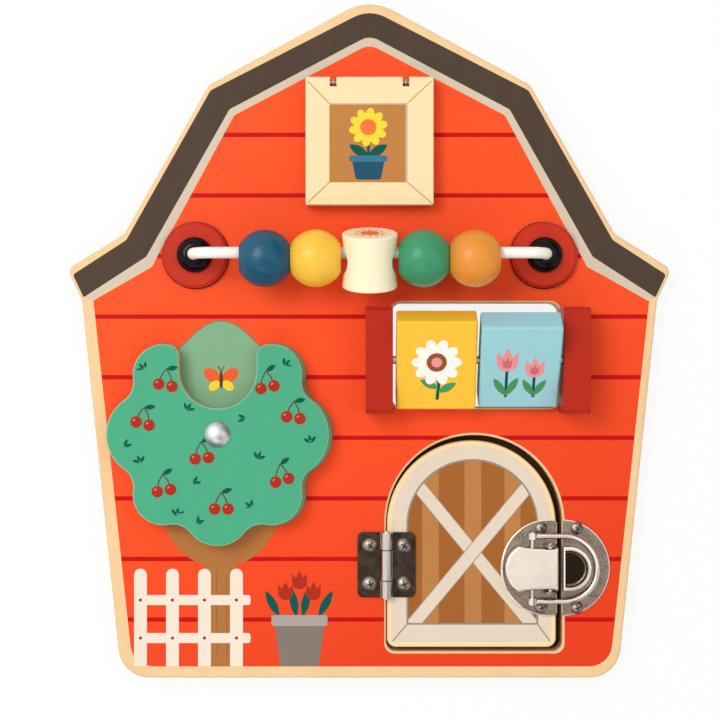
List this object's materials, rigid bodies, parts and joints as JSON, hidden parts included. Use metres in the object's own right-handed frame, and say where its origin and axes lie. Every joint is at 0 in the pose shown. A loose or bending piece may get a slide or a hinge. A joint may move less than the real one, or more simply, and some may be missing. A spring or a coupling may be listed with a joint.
{
  "type": "wooden busy board",
  "caption": "Barn-shaped wooden activity board for toddlers, with a lift-up shutter, beads on a rod, flip blocks, a turning tree disc and a hinged door with a toggle latch.",
  "frame": {"origin": "centre of the board's outline on its flat back face, which is also the middle of the bounding box's bottom", "axes": "+X to the right and +Y to the roof peak as seen from the front, +Z out of the printed face"},
  "size_m": [0.3, 0.337, 0.0496],
  "materials": {
    "printed_board": "satin print over plywood",
    "plain_plywood": "sanded birch plywood",
    "red_lacquer": "satin lacquer",
    "black_collar": "glossy",
    "white_wire": "smooth coating",
    "tree_print": "satin print",
    "shutter_print": "satin print",
    "door_print": "satin print",
    "yellow_print": "satin print",
    "light_blue_print": "satin print",
    "blue_bead": "satin lacquer",
    "yellow_bead": "satin lacquer",
    "cream_spool": "satin lacquer",
    "green_bead": "satin lacquer",
    "orange_bead": "satin lacquer",
    "steel": "satin",
    "bright_steel": "polished",
    "hinge_metal": "dark bronzed",
    "latch_metal": "nickel plated"
  },
  "bodies": {
    "board": {"front_panel": "printed_board", "back_panel": "plain_plywood", "disc_left": "red_lacquer", "disc_right": "red_lacquer", "collar_left": "black_collar", "collar_right": "black_collar", "bead_rod": "white_wire", "disc_screws": "steel", "bracket_left": "red_lacquer", "bracket_right": "red_lacquer", "flip_axle": "steel", "bracket_screws": "steel", "tree_rivet": "bright_steel", "tree_spacer": "steel", "rivet_washer": "steel", "shutter_pin": "steel", "shutter_eyes": "steel", "hinge_leaf_fixed": "hinge_metal", "hinge_pin": "bright_steel", "hinge_screws_fixed": "bright_steel", "latch_keeper": "latch_metal", "keeper_screws": "bright_steel"},
    "tree": {"tree_disc": "tree_print"},
    "shutter": {"shutter": "shutter_print"},
    "flip_yellow": {"flip_block_yellow": "yellow_print"},
    "flip_blue": {"flip_block_blue": "light_blue_print"},
    "door": {"door": "door_print", "hinge_leaf_door": "hinge_metal", "hinge_screws_door": "bright_steel", "latch_base": "latch_metal", "latch_screws": "bright_steel", "lever_pin": "steel"},
    "latch_lever": {"latch_lever": "latch_metal"},
    "latch_loop": {"latch_loop": "steel", "loop_pin": "steel"},
    "bead_blue": {"bead_blue": "blue_bead"},
    "bead_yellow": {"bead_yellow": "yellow_bead"},
    "spool": {"spool": "cream_spool"},
    "bead_green": {"bead_green": "green_bead"},
    "bead_orange": {"bead_orange": "orange_bead"}
  },
  "joints": [
    {"name": "tree_spin", "type": "hinge", "parent": "board", "child": "tree", "pos_m": [-0.07515, -0.0464, 0.018], "axis": [0, 0, 1], "continuous": true},
    {"name": "shutter_lift", "type": "hinge", "parent": "board", "child": "shutter", "pos_m": [0, 0.1282, 0.0171], "axis": [-1, 0, 0], "range_deg": [0, 175]},
    {"name": "flip_yellow_spin", "type": "hinge", "parent": "board", "child": "flip_yellow", "pos_m": [0.0326, -0.0095, 0.02602], "axis": [1, 0, 0], "continuous": true},
    {"name": "flip_blue_spin", "type": "hinge", "parent": "board", "child": "flip_blue", "pos_m": [0.0734, -0.0095, 0.02602], "axis": [1, 0, 0], "continuous": true},
    {"name": "door_swing", "type": "hinge", "parent": "board", "child": "door", "pos_m": [0.0085, -0.1118, 0.015], "axis": [0, -1, 0], "range_deg": [0, 150]},
    {"name": "lever_turn", "type": "hinge", "parent": "door", "child": "latch_lever", "pos_m": [0.0898, -0.1133, 0.0173], "axis": [0, 1, 0], "range_deg": [0, 110]},
    {"name": "loop_turn", "type": "hinge", "parent": "latch_lever", "child": "latch_loop", "pos_m": [0.081, -0.1133, 0.0168], "axis": [0, -1, 0], "range_deg": [0, 154]},
    {"name": "bead_slide", "type": "slide", "parent": "board", "child": "bead_blue", "axis": [1, 0, 0], "range_m": [-0.01, 0.01]},
    {"name": "bead_yellow_spin", "type": "hinge", "parent": "bead_blue", "child": "bead_yellow", "pos_m": [-0.02625, 0.04, 0.033], "axis": [1, 0, 0], "continuous": true},
    {"name": "spool_spin", "type": "hinge", "parent": "bead_blue", "child": "spool", "pos_m": [0, 0.0391, 0.033], "axis": [1, 0, 0], "continuous": true},
    {"name": "bead_green_spin", "type": "hinge", "parent": "bead_blue", "child": "bead_green", "pos_m": [0.02625, 0.04, 0.033], "axis": [1, 0, 0], "continuous": true},
    {"name": "bead_orange_spin", "type": "hinge", "parent": "bead_blue", "child": "bead_orange", "pos_m": [0.05115, 0.04, 0.033], "axis": [1, 0, 0], "continuous": true}
  ],
  "couplings": [
    {"joint": "loop_turn", "follows": "lever_turn", "ratio": 1.4}
  ]
}
